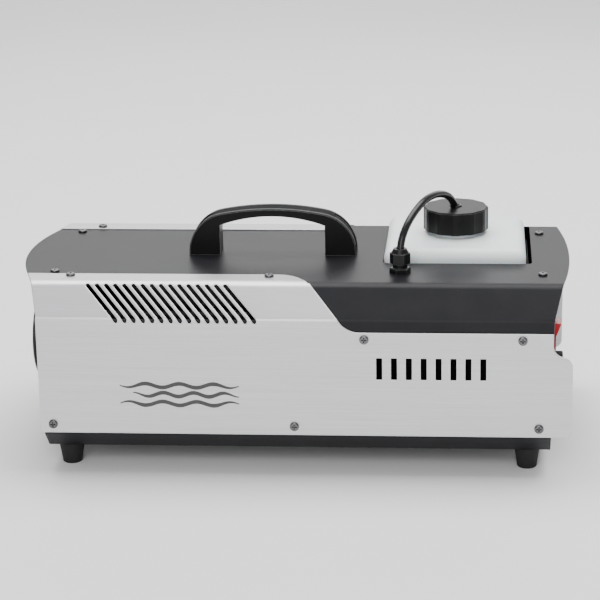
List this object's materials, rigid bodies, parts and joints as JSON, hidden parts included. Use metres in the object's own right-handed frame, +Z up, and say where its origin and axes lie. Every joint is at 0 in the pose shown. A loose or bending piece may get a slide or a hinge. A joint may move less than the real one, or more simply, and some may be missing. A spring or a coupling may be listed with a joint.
{
  "type": "fog machine",
  "caption": "Portable stage fog machine: folded sheet-metal case with a carrying handle, screw-capped fluid tank, gland and hose, round fog nozzle and rear rocker switch.",
  "frame": {"origin": "floor level, below the middle of the case", "axes": "+X towards the rear panel with the switch, -X the way the fog leaves, +Z up"},
  "size_m": [0.5096, 0.2606, 0.2352],
  "materials": {
    "black_sheet": "fine satin powder coat",
    "silver_sheet": "lengthwise brushed, matt",
    "bay_sheet": "matt",
    "screw_steel": "bright plated",
    "handle_plastic": "fine moulded grain",
    "grip_rubber": "matt",
    "tank_plastic": "milky, slightly translucent",
    "cap_plastic": "semi-gloss moulded",
    "nylon_black": "semi-gloss",
    "hose_rubber": "semi-gloss",
    "foot_rubber": "matt",
    "rocker_red": "gloss",
    "clear_tube": "translucent",
    "brass": "machined",
    "heater_cast": "as cast",
    "insulation": "glass-fibre felt",
    "bright_steel": "bright",
    "coil_wire": "taped winding",
    "board_green": "solder mask",
    "transformer_yellow": "taped",
    "fuse_glass": "clear"
  },
  "bodies": {
    "case": {"base_tray": "black_sheet", "board_standoffs": "brass", "control_board": "board_green", "cover_screws": "screw_steel", "feed_fitting": "brass", "fluid_hose": "hose_rubber", "foot_nuts": "screw_steel", "foot_screws": "screw_steel", "front_panel": "black_sheet", "fuse_holder": "nylon_black", "gland_body": "nylon_black", "gland_locknut": "nylon_black", "gland_nut": "nylon_black", "gland_seal": "foot_rubber", "glass_fuse": "fuse_glass", "handle": "handle_plastic", "handle_grip": "grip_rubber", "handle_screws": "screw_steel", "heat_shield": "bright_steel", "heater_brackets": "bright_steel", "heater_insulation": "insulation", "heater_lower_half": "heater_cast", "heater_tube": "bright_steel", "heater_upper_half": "heater_cast", "heating_elements": "bright_steel", "inlet_pins": "bright_steel", "inlet_socket": "nylon_black", "left_side_panel": "silver_sheet", "nozzle_ring": "nylon_black", "nozzle_tip": "brass", "panel_screws": "screw_steel", "pump_bracket": "bright_steel", "pump_buffers": "foot_rubber", "pump_coil": "coil_wire", "pump_core": "brass", "pump_elbow": "brass", "pump_spring": "bright_steel", "pump_yoke": "bright_steel", "rear_panel": "black_sheet", "relays": "nylon_black", "remote_socket": "nylon_black", "right_side_panel": "silver_sheet", "rubber_feet": "foot_rubber", "small_screws": "screw_steel", "suction_hose": "hose_rubber", "switch_body": "nylon_black", "tank": "tank_plastic", "tank_bay": "bay_sheet", "terminal_block": "nylon_black", "thermal_fuse": "bright_steel", "thermostat": "bright_steel", "top_cover": "black_sheet", "transformer": "transformer_yellow"},
    "cap_bush_set": {"cap_bush": "cap_plastic", "pickup_tube": "clear_tube", "pickup_filter": "brass"},
    "cap": {"tank_cap": "cap_plastic"},
    "rocker": {"power_rocker": "rocker_red"},
    "plunger": {"pump_plunger": "bright_steel"},
    "fuse_knob": {"fuse_cap": "nylon_black"}
  },
  "joints": [
    {"name": "cap_turn", "type": "hinge", "parent": "cap_bush_set", "child": "cap", "pos_m": [0.1485, 0.033, 0.2], "axis": [0, 0, 1], "range_deg": [0, 540]},
    {"name": "cap_lift", "type": "slide", "parent": "case", "child": "cap_bush_set", "axis": [0, 0, 1], "range_m": [0, 0.0075], "deforming": ["fluid_hose"]},
    {"name": "rocker_tilt", "type": "hinge", "parent": "case", "child": "rocker", "pos_m": [0.23665, -0.06, 0.1155], "axis": [0, -1, 0], "range_deg": [0, 21]},
    {"name": "plunger_stroke", "type": "slide", "parent": "case", "child": "plunger", "axis": [-1, 0, 0], "range_m": [0, 0.004], "stiffness_N_per_m": 400, "deforming": ["pump_spring"]},
    {"name": "fuse_cap_turn", "type": "hinge", "parent": "case", "child": "fuse_knob", "pos_m": [0.2385, -0.1, 0.105], "axis": [1, 0, 0], "range_deg": [0, 90]}
  ],
  "couplings": [
    {"joint": "cap_lift", "follows": "cap_turn", "m_per_rad": 0.000795}
  ]
}
